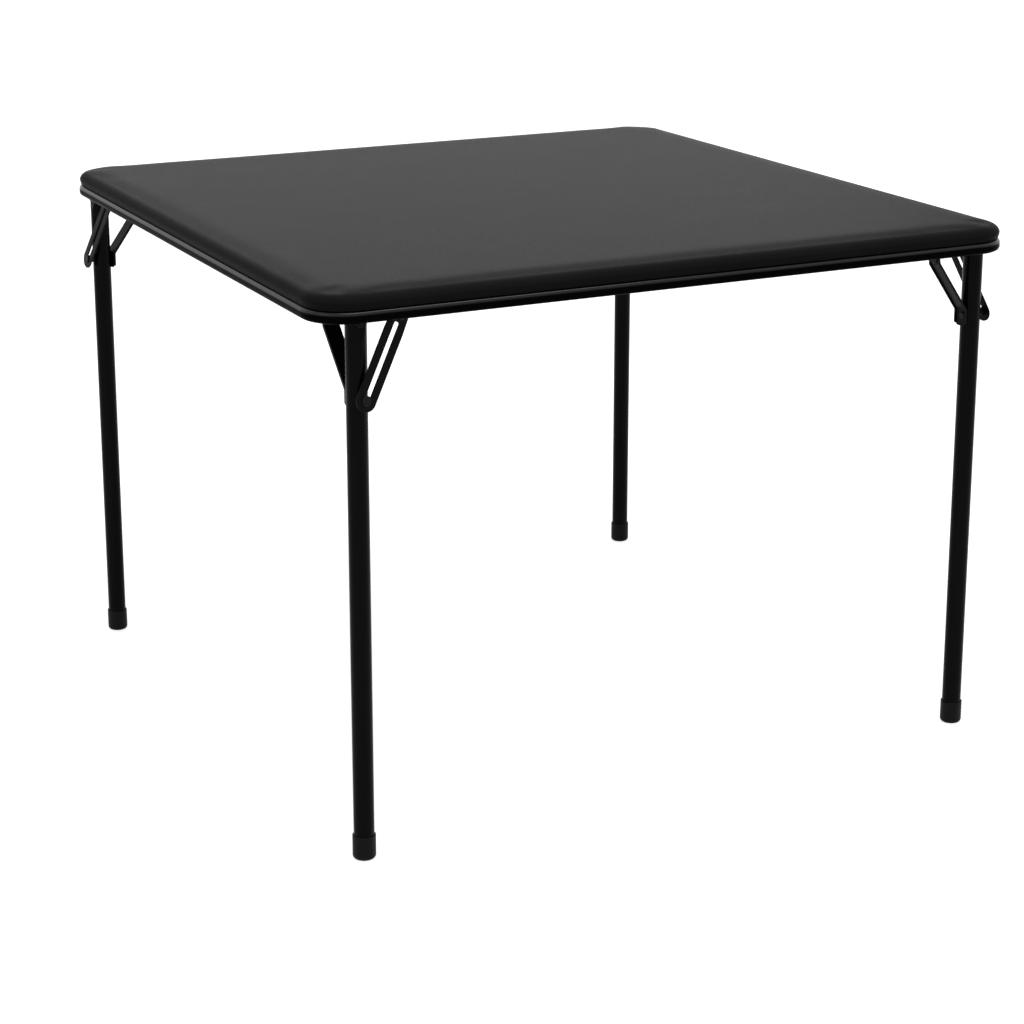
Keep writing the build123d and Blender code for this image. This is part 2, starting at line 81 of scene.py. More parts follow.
def linear(code: str) -> tuple[float, float, float, float]:
    """Turn an sRGB hex colour into linear light.

    Args:
        code: The colour as "#rrggbb".

    Returns:
        Linear red, green and blue, with an alpha of 1.
    """
    shares = [int(code[i:i + 2], 16) / 255 for i in (1, 3, 5)]
    red, green, blue = (c / 12.92 if c <= 0.04045 else ((c + 0.055) / 1.055) ** 2.4 for c in shares)
    return red, green, blue, 1.0


def add_node(
    tree: bpy.types.NodeTree,
    kind: str,
    inputs: dict[str | int, Any] | None = None,
    **settings: Any,
) -> bpy.types.Node:
    """Add one shader node with its settings, values and links.

    Args:
        tree: The node tree that gets the node.
        kind: Blender's type name, such as "ShaderNodeBump".
        inputs: Socket name or number to a value, or to the output socket that feeds it.
        **settings: Attributes of the node itself.

    Returns:
        The new node.
    """
    made = tree.nodes.new(kind)
    for name, value in settings.items():
        setattr(made, name, value)
    for socket, value in (inputs or {}).items():
        if isinstance(value, bpy.types.NodeSocket):
            tree.links.new(value, made.inputs[socket])
        else:
            made.inputs[socket].default_value = value
    return made


@dataclass(frozen=True)
class Finish(ABC):
    """A surface finish that becomes one procedural material.

    In every finish, a name that ends in _mm is a size in millimetres, and a name that ends
    in _depth is a height in metres.

    Attributes:
        name: What the material is and how its surface was made.
        colour: Main colour, sRGB hex.
        roughness: Mean roughness of the surface.
    """

    name: str
    colour: str
    roughness: float

    @abstractmethod
    def dress(self, tree: bpy.types.NodeTree, shader: bpy.types.Node) -> None:
        """Add the finish's own nodes round the Principled shader.

        Args:
            tree: The material's node tree.
            shader: The Principled shader in it.
        """

    def material(self) -> bpy.types.Material:
        """Build the material once and hand back the same one afterwards.

        Returns:
            The material.
        """
        found = bpy.data.materials.get(self.name)
        if found is not None:
            return found
        made = bpy.data.materials.new(self.name)
        made.use_nodes = True
        tree = made.node_tree
        tree.nodes.clear()
        shader = add_node(tree, "ShaderNodeBsdfPrincipled", {
            "Base Color": linear(self.colour), "Roughness": self.roughness})
        add_node(tree, "ShaderNodeOutputMaterial", {"Surface": shader.outputs["BSDF"]})
        self.dress(tree, shader)
        made.diffuse_color = linear(self.colour)
        return made

    @staticmethod
    def place(tree: bpy.types.NodeTree, per_mm: float) -> bpy.types.NodeSocket:
        """Give object coordinates in pattern units, with a number of millimetres to each.

        Args:
            tree: The node tree that gets the nodes.
            per_mm: Millimetres in one unit of the pattern.

        Returns:
            The vector output.
        """
        coordinates = add_node(tree, "ShaderNodeTexCoord")
        scale = MM_IN_METRE / per_mm
        mapping = add_node(tree, "ShaderNodeMapping", {
            "Vector": coordinates.outputs["Object"], "Scale": (scale, scale, scale)})
        return mapping.outputs["Vector"]


@dataclass(frozen=True)
class GrainedVinyl(Finish):
    """Calendered PVC upholstery sheet, embossed with a fine leather grain.

    The sheet is a little smoother on the crests of the grain's cells than in the valleys
    between them. At this low specular level the grain hardly shows from the camera.

    Attributes:
        light: Lighter end of the slow drift of colour, sRGB hex.
        gloss: Specular level.
        grain_mm: Size of one grain cell.
        grain_depth: Height of a crest over the valleys.
        valley_width: Width of the valley on one side of a cell, in cells.
        valley_dulling: Roughness that a valley adds.
        crest_shine: Roughness that a crest takes away.
        wave_mm: Size of the shallow waves of the stretched sheet.
        wave_depth: Height of those waves.
    """

    light: str = "#1f1f20"
    gloss: float = 0.01
    grain_mm: float = 1.6
    grain_depth: float = 0.00009
    valley_width: float = 0.22
    valley_dulling: float = 0.1
    crest_shine: float = 0.04
    wave_mm: float = 90.0
    wave_depth: float = 0.0012

    def dress(self, tree: bpy.types.NodeTree, shader: bpy.types.Node) -> None:
        """Add grain cells, faint colour drift and the shallow waves of a stretched sheet."""
        grain_place = self.place(tree, self.grain_mm)
        drift = add_node(tree, "ShaderNodeTexNoise", {
            "Vector": grain_place, "Scale": 0.6, "Detail": 2.0, "Roughness": 0.5})
        bent = add_node(tree, "ShaderNodeVectorMath", {
            0: grain_place, 1: drift.outputs["Color"]}, operation="ADD")
        cells = add_node(tree, "ShaderNodeTexVoronoi", {
            "Vector": bent.outputs["Vector"], "Scale": 1.0, "Randomness": 0.9},
            feature="DISTANCE_TO_EDGE")
        crest = add_node(tree, "ShaderNodeMapRange", {
            "Value": cells.outputs["Distance"], "From Min": 0.0, "From Max": self.valley_width},
            interpolation_type="SMOOTHSTEP")
        wave = add_node(tree, "ShaderNodeTexNoise", {
            "Vector": self.place(tree, self.wave_mm), "Scale": 1.0, "Detail": 1.0})
        tone = add_node(tree, "ShaderNodeMix", {
            "Factor": wave.outputs["Fac"], "A": linear(self.colour), "B": linear(self.light)},
            data_type="RGBA")
        tree.links.new(tone.outputs["Result"], shader.inputs["Base Color"])
        rough = add_node(tree, "ShaderNodeMapRange", {
            "Value": crest.outputs["Result"], "To Min": self.roughness + self.valley_dulling,
            "To Max": self.roughness - self.crest_shine})
        tree.links.new(rough.outputs["Result"], shader.inputs["Roughness"])
        slack = add_node(tree, "ShaderNodeBump", {
            "Height": wave.outputs["Fac"], "Strength": 0.35, "Distance": self.wave_depth})
        grain = add_node(tree, "ShaderNodeBump", {
            "Height": crest.outputs["Result"], "Strength": 0.55, "Distance": self.grain_depth,
            "Normal": slack.outputs["Normal"]})
        tree.links.new(grain.outputs["Normal"], shader.inputs["Normal"])
        shader.inputs["Specular IOR Level"].default_value = self.gloss


@dataclass(frozen=True)
class PowderCoat(Finish):
    """Polyester powder baked on steel: an even skin with a fine orange peel.

    It gives long soft highlights that waver slightly, with a faint dust speck here and there.

    Attributes:
        peel_mm: Size of the orange peel's ripples.
        gloss: Specular level.
        peel_depth: Height of the ripples.
        speck: Colour of a dust speck, sRGB hex.
        speck_mm: Size of the noise that the specks are cut from.
        speck_start: Level of that noise at which a speck begins to show.
        speck_full: Level of that noise at which a speck has its full colour.
        drift_mm: Size of the slow drift of roughness.
        drift: How far the roughness drifts up and down.
    """

    peel_mm: float
    gloss: float
    peel_depth: float = 0.00006
    speck: str = "#121213"
    speck_mm: float = 0.5
    speck_start: float = 0.66
    speck_full: float = 0.74
    drift_mm: float = 35.0
    drift: float = 0.05

    def dress(self, tree: bpy.types.NodeTree, shader: bpy.types.Node) -> None:
        """Add the orange peel, faint dust specks and a slow drift of roughness."""
        peel = add_node(tree, "ShaderNodeTexNoise", {
            "Vector": self.place(tree, self.peel_mm), "Scale": 1.0, "Detail": 2.0,
            "Roughness": 0.55})
        dust = add_node(tree, "ShaderNodeTexNoise", {
            "Vector": self.place(tree, self.speck_mm), "Scale": 1.0, "Detail": 0.0})
        specks = add_node(tree, "ShaderNodeMapRange", {
            "Value": dust.outputs["Fac"], "From Min": self.speck_start, "From Max": self.speck_full})
        tone = add_node(tree, "ShaderNodeMix", {
            "Factor": specks.outputs["Result"], "A": linear(self.colour), "B": linear(self.speck)},
            data_type="RGBA")
        tree.links.new(tone.outputs["Result"], shader.inputs["Base Color"])
        slow = add_node(tree, "ShaderNodeTexNoise", {
            "Vector": self.place(tree, self.drift_mm), "Scale": 1.0, "Detail": 3.0})
        rough = add_node(tree, "ShaderNodeMapRange", {
            "Value": slow.outputs["Fac"], "From Min": 0.3, "From Max": 0.7,
            "To Min": self.roughness - self.drift, "To Max": self.roughness + self.drift})
        tree.links.new(rough.outputs["Result"], shader.inputs["Roughness"])
        bump = add_node(tree, "ShaderNodeBump", {
            "Height": peel.outputs["Fac"], "Strength": 0.5, "Distance": self.peel_depth})
        tree.links.new(bump.outputs["Normal"], shader.inputs["Normal"])
        shader.inputs["Specular IOR Level"].default_value = self.gloss


@dataclass(frozen=True)
class RolledRim(PowderCoat):
    """Powder coat on the rolled rim, drawn thin and smooth over the roll of its upper lip.

    The flat side stays dull and near black, and the lip draws one line of light.

    Attributes:
        lip_depth: How far the smooth lip reaches down from the rim's top.
        lip_blend: Height over which the lip's gloss fades into the side's, in metres.
        lip_gloss: Specular level on the lip.
        lip_roughness: Roughness on the lip.
    """

    lip_depth: float = 0.0028
    lip_blend: float = 0.0026
    lip_gloss: float = 0.3
    lip_roughness: float = 0.18

    def dress(self, tree: bpy.types.NodeTree, shader: bpy.types.Node) -> None:
        """Add the powder's own nodes, then the smooth lip over them."""
        super().dress(tree, shader)
        top = box_of("frame_rim")[1].z
        coordinates = add_node(tree, "ShaderNodeTexCoord")
        height = add_node(tree, "ShaderNodeSeparateXYZ", {0: coordinates.outputs["Object"]})
        lip = add_node(tree, "ShaderNodeMapRange", {
            "Value": height.outputs["Z"], "From Min": top - self.lip_depth - self.lip_blend,
            "From Max": top - self.lip_depth}, interpolation_type="SMOOTHSTEP")
        gloss = add_node(tree, "ShaderNodeMapRange", {
            "Value": lip.outputs["Result"], "To Min": self.gloss, "To Max": self.lip_gloss})
        tree.links.new(gloss.outputs["Result"], shader.inputs["Specular IOR Level"])
        side_rough = shader.inputs["Roughness"].links[0].from_socket
        rough = add_node(tree, "ShaderNodeMix", {
            "Factor": lip.outputs["Result"], "A": side_rough, "B": self.lip_roughness})
        tree.links.new(rough.outputs["Result"], shader.inputs["Roughness"])


@dataclass(frozen=True)
class MouldedPlastic(Finish):
    """Injection-moulded polypropylene with a spark-eroded, faintly pebbled skin.

    It is duller than the painted tube above it and scatters its highlight wide. The pebbles
    are drawn coarser than real ones, so that they show.

    Attributes:
        pebble_mm: Size of one pebble.
        pebble_depth: Height of the pebbles.
        scuff_mm: Size of the scuffed patches.
        scuff_dulling: Most roughness that a scuff adds.
        scuff_shine: Most roughness that a clean patch takes away.
        ior: Index of refraction of polypropylene.
        gloss: Specular level.
    """

    pebble_mm: float = 0.8
    pebble_depth: float = 0.00005
    scuff_mm: float = 6.0
    scuff_dulling: float = 0.12
    scuff_shine: float = 0.06
    ior: float = 1.49
    gloss: float = 0.1

    def dress(self, tree: bpy.types.NodeTree, shader: bpy.types.Node) -> None:
        """Add the pebbled skin and dull scuffs all over it."""
        pebble = add_node(tree, "ShaderNodeTexVoronoi", {
            "Vector": self.place(tree, self.pebble_mm), "Scale": 1.0}, feature="SMOOTH_F1")
        bump = add_node(tree, "ShaderNodeBump", {
            "Height": pebble.outputs["Distance"], "Strength": 0.4, "Distance": self.pebble_depth})
        tree.links.new(bump.outputs["Normal"], shader.inputs["Normal"])
        scuff = add_node(tree, "ShaderNodeTexNoise", {
            "Vector": self.place(tree, self.scuff_mm), "Scale": 1.0, "Detail": 6.0,
            "Roughness": 0.7})
        rough = add_node(tree, "ShaderNodeMapRange", {
            "Value": scuff.outputs["Fac"], "From Min": 0.35, "From Max": 0.7,
            "To Min": self.roughness - self.scuff_shine,
            "To Max": self.roughness + self.scuff_dulling})
        tree.links.new(rough.outputs["Result"], shader.inputs["Roughness"])
        shader.inputs["IOR"].default_value = self.ior
        shader.inputs["Specular IOR Level"].default_value = self.gloss


@dataclass(frozen=True)
class Hardboard(Finish):
    """Wet-process hardboard, seen from its screen side.

    The press screen leaves a fine woven print, and the fibres give a mottled brown.

    Attributes:
        dark: Darker brown of the mottling, sRGB hex.
        fibre_mm: Size of the largest fibre patches.
        fibre_depth: Height of the fibres.
        screen_mm: Spacing of the press screen's wires.
        screen_depth: Height of the screen's print.
        gloss: Specular level.
    """

    dark: str = "#2c1f16"
    fibre_mm: float = 9.0
    fibre_depth: float = 0.0003
    screen_mm: float = 2.2
    screen_depth: float = 0.0002
    gloss: float = 0.2

    def dress(self, tree: bpy.types.NodeTree, shader: bpy.types.Node) -> None:
        """Add fibre mottling and the print of the press screen."""
        fibre = add_node(tree, "ShaderNodeTexNoise", {
            "Vector": self.place(tree, self.fibre_mm), "Scale": 1.0, "Detail": 8.0,
            "Roughness": 0.75, "Distortion": 0.6})
        tone = add_node(tree, "ShaderNodeMix", {
            "Factor": fibre.outputs["Fac"], "A": linear(self.dark), "B": linear(self.colour)},
            data_type="RGBA")
        tree.links.new(tone.outputs["Result"], shader.inputs["Base Color"])
        weave_place = self.place(tree, self.screen_mm)
        waves = [add_node(tree, "ShaderNodeTexWave", {
            "Vector": weave_place, "Scale": ONE_BAND, "Distortion": 0.0},
            wave_type="BANDS", bands_direction=way) for way in ("X", "Y")]
        print_height = add_node(tree, "ShaderNodeMath", {
            0: waves[0].outputs["Fac"], 1: waves[1].outputs["Fac"]}, operation="MULTIPLY")
        screen = add_node(tree, "ShaderNodeBump", {
            "Height": print_height.outputs["Value"], "Strength": 0.6,
            "Distance": self.screen_depth})
        rough = add_node(tree, "ShaderNodeBump", {
            "Height": fibre.outputs["Fac"], "Strength": 0.4, "Distance": self.fibre_depth,
            "Normal": screen.outputs["Normal"]})
        tree.links.new(rough.outputs["Normal"], shader.inputs["Normal"])
        shader.inputs["Specular IOR Level"].default_value = self.gloss


@dataclass(frozen=True)
class ZincPlate(Finish):
    """Bright zinc plate on steel screws: pale, slightly yellow, with a patchy gloss.

    Attributes:
        patch_mm: Size of the patches.
        patch_dulling: Most roughness that a dull patch adds.
        patch_shine: Most roughness that a bright patch takes away.
    """

    patch_mm: float = 1.5
    patch_dulling: float = 0.15
    patch_shine: float = 0.1

    def dress(self, tree: bpy.types.NodeTree, shader: bpy.types.Node) -> None:
        """Add the patchy gloss of passivated zinc."""
        shader.inputs["Metallic"].default_value = 1.0
        patch = add_node(tree, "ShaderNodeTexNoise", {
            "Vector": self.place(tree, self.patch_mm), "Scale": 1.0, "Detail": 4.0})
        rough = add_node(tree, "ShaderNodeMapRange", {
            "Value": patch.outputs["Fac"], "To Min": self.roughness - self.patch_shine,
            "To Max": self.roughness + self.patch_dulling})
        tree.links.new(rough.outputs["Result"], shader.inputs["Roughness"])


class Steel(Enum):
    """The black coated steel of the table, part by part."""

    RIM = RolledRim("powder_coated_rolled_rim", "#070708", 0.28, peel_mm=2.0, gloss=0.005)
    LEG = PowderCoat("powder_coated_drawn_tube", "#050506", 0.22, peel_mm=1.6, gloss=0.045)
    LINK = PowderCoat("powder_coated_stamped_links", "#080809", 0.42, peel_mm=1.2, gloss=0.07)
    BRACKET = PowderCoat("powder_coated_pressed_bracket", "#0a0a0b", 0.45, peel_mm=1.2, gloss=0.1)
    RIVET = PowderCoat("black_oxide_rivets", "#0b0b0c", 0.38, peel_mm=0.8, gloss=0.14)


VINYL = GrainedVinyl("embossed_pvc_upholstery_vinyl", "#19191a", 0.42)
CAP_PLASTIC = MouldedPlastic("moulded_black_polypropylene", "#090909", 0.5)
BOARD = Hardboard("screen_backed_hardboard", "#4d3726", 0.75)
ZINC = ZincPlate("zinc_plated_steel", "#b9b8b2", 0.38)

TOP_FINISHES: dict[str, Finish] = {
    "frame_rim": Steel.RIM.value,
    "top_board": BOARD,
    "rim_screws": ZINC,
    "bracket_screws": ZINC,
}
CORNER_FINISHES: dict[str, Finish] = {
    "leg_tube": Steel.LEG.value,
    "side_strut": Steel.LINK.value,
    "lock_stay": Steel.LINK.value,
    "hinge_bracket": Steel.BRACKET.value,
    "hinge_rivet": Steel.RIVET.value,
    "stay_rivet": Steel.RIVET.value,
    "strut_rivet": Steel.RIVET.value,
    "tab_rivet": Steel.RIVET.value,
    "lock_pin": Steel.RIVET.value,
    "foot_cap": CAP_PLASTIC,
}


def box_of(node: str) -> tuple[Vector, Vector]:
    """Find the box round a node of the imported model.

    Args:
        node: The node's name.

    Returns:
        The lowest and the highest corner, in metres.
    """
    low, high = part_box(node)
    return Vector(low), Vector(high)


def shade_smooth(mesh: bpy.types.Mesh) -> None:
    """Shade every face of a mesh smooth.

    Args:
        mesh: The mesh to change.
    """
    for face in mesh.polygons:
        face.use_smooth = True


def new_object(name: str, shape: bmesh.types.BMesh, finish: Finish) -> bpy.types.Object:
    """Turn a bmesh into a smooth-shaded object with one finish.

    Args:
        name: The piece's name.
        shape: The bmesh, which is freed.
        finish: The finish of the whole piece.

    Returns:
        The object, standing at the origin and linked to the scene.
    """
    mesh = bpy.data.meshes.new(name)
    shape.to_mesh(mesh)
    shape.free()
    mesh.materials.append(finish.material())
    shade_smooth(mesh)
    made = bpy.data.objects.new(name, mesh)
    bpy.context.collection.objects.link(made)
    return made


def apply_modifiers(piece: bpy.types.Object) -> None:
    """Bake a piece's modifiers into its mesh.

    Args:
        piece: The object, which gets a new mesh.
    """
    graph = bpy.context.evaluated_depsgraph_get()
    mesh = bpy.data.meshes.new_from_object(piece.evaluated_get(graph), depsgraph=graph)
    piece.modifiers.clear()
    old = piece.data
    piece.data = mesh
    bpy.data.meshes.remove(old)


def ends(edges: list[bmesh.types.BMEdge]) -> set[bmesh.types.BMVert]:
    """Collect the vertices that a set of edges joins.

    Args:
        edges: The edges.

    Returns:
        Their vertices, each once.
    """
    return {vert for edge in edges for vert in edge.verts}


@dataclass(frozen=True)
class ClothFeel:
    """How the vinyl behaves in the cloth simulation, in Blender's own units.

    Attributes:
        quality: Solver steps in each frame.
        mass: Mass of each vertex.
        stretch: Stiffness against stretching and squeezing.
        bending: Stiffness against bending.
        pressure: Push of the pressed foam from inside.
        frames: Frames that the simulation runs.
    """

    quality: int = 6
    mass: float = 0.35
    stretch: float = 20.0
    bending: float = 2.0
    pressure: float = 3.0
    frames: int = 20


@dataclass(frozen=True)
class PaddedTop:
    """The upholstered top: one vinyl sheet drawn over foam and turned in under the board.

    Lengths are in metres.

    Attributes:
        roll: How far in from the edge the padded nose starts to round over.
        nose: How far the rounding runs down to the widest line of the nose.
        bulge: How far the nose stands out past the board's wrapped edge.
        tuck: Height above the ledge at which the nose tucks back in on to that edge.
        hem: How far in from the board's edge the turned-in hem reaches.
        shoulder: How far in from the edge the pad starts to fall away.
        fall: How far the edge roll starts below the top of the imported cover.
        headroom: Share of the fall by which the flat middle lies under that top, to swell into.
        corner: Radius of the top's corners, in plan.
        sheet: Thickness of the vinyl.
        cells: Grid cells along one side of the sheet.
        crowding: How strongly the cells crowd towards the edge, where 1 is even.
        steps: Steps in each quarter turn of the nose.
        swell: The most that the pressed foam may lift the sheet.
        feel: How the sheet behaves as a cloth.
    """

    roll: float = 0.012
    nose: float = 0.0095
    bulge: float = 0.0014
    tuck: float = 0.0035
    hem: float = 0.0095
    shoulder: float = 0.045
    fall: float = 0.0024
    headroom: float = 0.25
    corner: float = 0.0495
    sheet: float = 0.001
    cells: int = 96
    crowding: float = 1.18
    steps: int = 6
    swell: float = 0.0009
    feel: ClothFeel = ClothFeel()

    def build(self) -> bpy.types.Object:
        """Make the sheet, swell it over the foam and give it its thickness.

        Returns:
            The finished piece, which stands for the cover and the foam.
        """
        low, high = box_of("vinyl_cover")
        piece = new_object("padded_top", self.draw_sheet(low, high), VINYL)
        self.swell_up(piece, low.z + self.roll)
        self.thicken(piece)
        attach(piece, "table_top")
        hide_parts("vinyl_cover", "foam_pad")
        return piece

    def draw_sheet(self, low: Vector, high: Vector) -> bmesh.types.BMesh:
        """Draw the outer face of the sheet, from the flat middle to the hem.

        Args:
            low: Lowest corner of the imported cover.
            high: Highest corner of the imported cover.

        Returns:
            One open surface that faces outward.
        """
        half = high.x
        shape = bmesh.new()
        bmesh.ops.create_grid(shape, x_segments=self.cells, y_segments=self.cells, size=1.0)
        flat = high.z - self.fall * self.headroom
        for vert in shape.verts:
            self.lay(vert, half, flat)
        edge = [e for e in shape.edges if e.is_boundary]
        self.set_loop(ends(edge), half, self.roll, high.z - self.fall)
        for inset, height in self.profile(low.z, high.z - self.fall):
            grown = bmesh.ops.extrude_edge_only(shape, edges=edge)["geom"]
            edge = [g for g in grown if isinstance(g, bmesh.types.BMEdge) and g.is_boundary]
            self.set_loop(ends(edge), half, inset, height)
        bmesh.ops.recalc_face_normals(shape, faces=shape.faces)
        if sum(f.normal.z * f.calc_area() for f in shape.faces) < 0:
            bmesh.ops.reverse_faces(shape, faces=shape.faces)
        return shape

    def lay(self, vert: bmesh.types.BMVert, half: float, flat: float) -> None:
        """Move one vertex of the unit grid on to the rounded square, loop by loop.

        Args:
            vert: The vertex to move.
            half: Half the width of the top.
            flat: Height of the flat middle.
        """
        reach = max(abs(vert.co.x), abs(vert.co.y))
        if reach < TINY:
            vert.co = Vector((0.0, 0.0, flat))
            return
        packed = 1 - (1 - reach) ** self.crowding
        inset = (1 - packed) * (half - self.roll)
        spot = self.on_outline(vert.co / reach * half, half, self.roll) * packed
        ease = min(1.0, max(0.0, 1 - inset / (self.shoulder - self.roll)))
        drop = self.fall * (1 - self.headroom) * ease * ease
        vert.co = Vector((spot.x, spot.y, flat - drop))

    def on_outline(self, point: Vector, half: float, inset: float) -> Vector:
        """Find the point of the rounded outline that lies nearest to a point.

        Args:
            point: A point outside the straight-sided core of the top.
            half: Half the width of the top.
            inset: How far the outline lies in from the top's edge.

        Returns:
            The point on the outline, in plan.
        """
        straight = half - self.corner
        core = Vector([min(max(along, -straight), straight) for along in point.xy])
        away = point.xy - core
        return core + away.normalized() * (self.corner - inset)

    def set_loop(
        self,
        verts: set[bmesh.types.BMVert],
        half: float,
        inset: float,
        height: float,
    ) -> None:
        """Put a closed loop of vertices on the outline.

        Args:
            verts: The loop's vertices.
            half: Half the width of the top.
            inset: How far the outline lies in from the top's edge.
            height: Height of the loop.
        """
        for vert in verts:
            spot = self.on_outline(vert.co, half, inset)
            vert.co = Vector((spot.x, spot.y, height))

    def profile(self, bottom: float, shoulder: float) -> list[tuple[float, float]]:
        """List the loops of the edge: the rounded nose, its tuck, the board's edge, the hem.

        Args:
            bottom: Height of the cover's underside.
            shoulder: Height at which the nose starts to round over.

        Returns:
            The inset and the height of each loop, from the top down.
        """
        turn = [i * math.pi / (2 * self.steps) for i in range(1, self.steps + 1)]
        widest = shoulder - self.nose
        deep = widest - bottom - self.tuck
        across = self.roll + self.bulge
        over = [(self.roll - across * math.sin(a), shoulder - self.nose * (1 - math.cos(a)))
                for a in turn]
        under = [(-self.bulge * math.cos(a), widest - deep * math.sin(a)) for a in turn]
        wrap = [(0.0, bottom + self.tuck / 2), (0.0, bottom + self.sheet)]
        hem = [(self.sheet, bottom), (self.hem, bottom)]
        return over + under + wrap + hem

    def swell_up(self, piece: bpy.types.Object, pin_below: float) -> None:
        """Press the sheet out from inside with a cloth simulation, within a soft limit.

        Args:
            piece: The sheet.
            pin_below: Vertices under this height are held by the board and don't move.
        """
        rest = [v.co.copy() for v in piece.data.vertices]
        moved = self.simulate(piece, pin_below)
        for vert, before, after in zip(piece.data.vertices, rest, moved):
            shift = after - before
            size = shift.length
            if size > TINY:
                vert.co = before + shift / size * self.swell * math.tanh(size / self.swell)
        top = max(v.co.z for v in piece.data.vertices)
        LOG.info("padded_top swelled to %.1f mm", top * MM_IN_METRE)

    def simulate(self, piece: bpy.types.Object, pin_below: float) -> list[Vector]:
        """Run the cloth simulation and take it off the piece again.

        Args:
            piece: The sheet, whose mesh stays as it was.
            pin_below: Vertices under this height are held.

        Returns:
            Where each vertex stands after the last frame.
        """
        held = piece.vertex_groups.new(name="held")
        held.add([v.index for v in piece.data.vertices if v.co.z < pin_below], 1.0, "REPLACE")
        cloth = piece.modifiers.new("cloth", "CLOTH")
        settings = cloth.settings
        settings.quality = self.feel.quality
        settings.mass = self.feel.mass
        settings.tension_stiffness = settings.compression_stiffness = self.feel.stretch
        settings.bending_stiffness = self.feel.bending
        settings.vertex_group_mass = held.name
        settings.use_pressure = True
        settings.uniform_pressure_force = self.feel.pressure
        settings.effector_weights.gravity = 0.0
        cloth.collision_settings.use_collision = False
        scene = bpy.context.scene
        for step in range(1, self.feel.frames + 1):
            scene.frame_set(step)
        graph = bpy.context.evaluated_depsgraph_get()
        moved = [v.co.copy() for v in piece.evaluated_get(graph).data.vertices]
        scene.frame_set(1)
        piece.modifiers.clear()
        piece.vertex_groups.clear()
        return moved

    def thicken(self, piece: bpy.types.Object) -> None:
        """Round the sheet off once more and give it its thickness, inward.

        Args:
            piece: The sheet.
        """
        finer = piece.modifiers.new("finer", "SUBSURF")
        finer.levels = finer.render_levels = 1
        thick = piece.modifiers.new("sheet", "SOLIDIFY")
        thick.thickness = self.sheet
        thick.offset = -1.0
        apply_modifiers(piece)
        shade_smooth(piece.data)


@dataclass(frozen=True)
class PackedPieces:
    """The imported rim, board, screws, leg parts and caps, each with its finish.

    Attributes:
        nodes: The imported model's objects, by node name.
    """

    nodes: dict[str, bpy.types.Object]

    def dress(self) -> None:
        """Give every node that stays in view the finish it has in the real table."""
        for name, finish in TOP_FINISHES.items():
            self.paint(name, finish)
        for corner in CORNERS:
            for kind, finish in CORNER_FINISHES.items():
                self.paint(f"{kind}_{corner}", finish)

    def paint(self, node: str, finish: Finish) -> None:
        """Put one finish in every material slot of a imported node.

        Args:
            node: The node's name.
            finish: The finish it gets.
        """
        mesh = self.nodes[node].data
        for index in range(len(mesh.materials)):
            mesh.materials[index] = finish.material()
        LOG.info("%s wears %s", node, finish.name)


@dataclass(frozen=True)
class Softbox:
    """One square softbox.

    Attributes:
        name: The lamp's name.
        at: Where it hangs, in metres.
        to: The point it faces, in metres.
        size: Side of the square, in metres.
        power: Light power, in watts.
    """

    name: str
    at: Place
    to: Place
    size: float
    power: float

    def hang(self) -> None:
        """Add the lamp to the scene."""
        data = bpy.data.lights.new(self.name, "AREA")
        data.shape = "SQUARE"
        data.size = self.size
        data.energy = self.power
        made = bpy.data.objects.new(self.name, data)
        bpy.context.collection.objects.link(made)
        made.location = self.at
        made.rotation_euler = (Vector(self.to) - Vector(self.at)).to_track_quat("-Z", "Y").to_euler()


SOFTBOXES = (
    Softbox("left_softbox", at=(-3.2, -1.2, 2.2), to=(0, 0, 0.6), size=2.0, power=6.0),
    Softbox("overhead_softbox", at=(0.2, -0.6, 3.8), to=(0, 0, 0.6), size=2.4, power=60.0),
    Softbox("back_softbox", at=(1.8, 4.2, 2.6), to=(0, 0, 0.7), size=3.6, power=45.0),
)


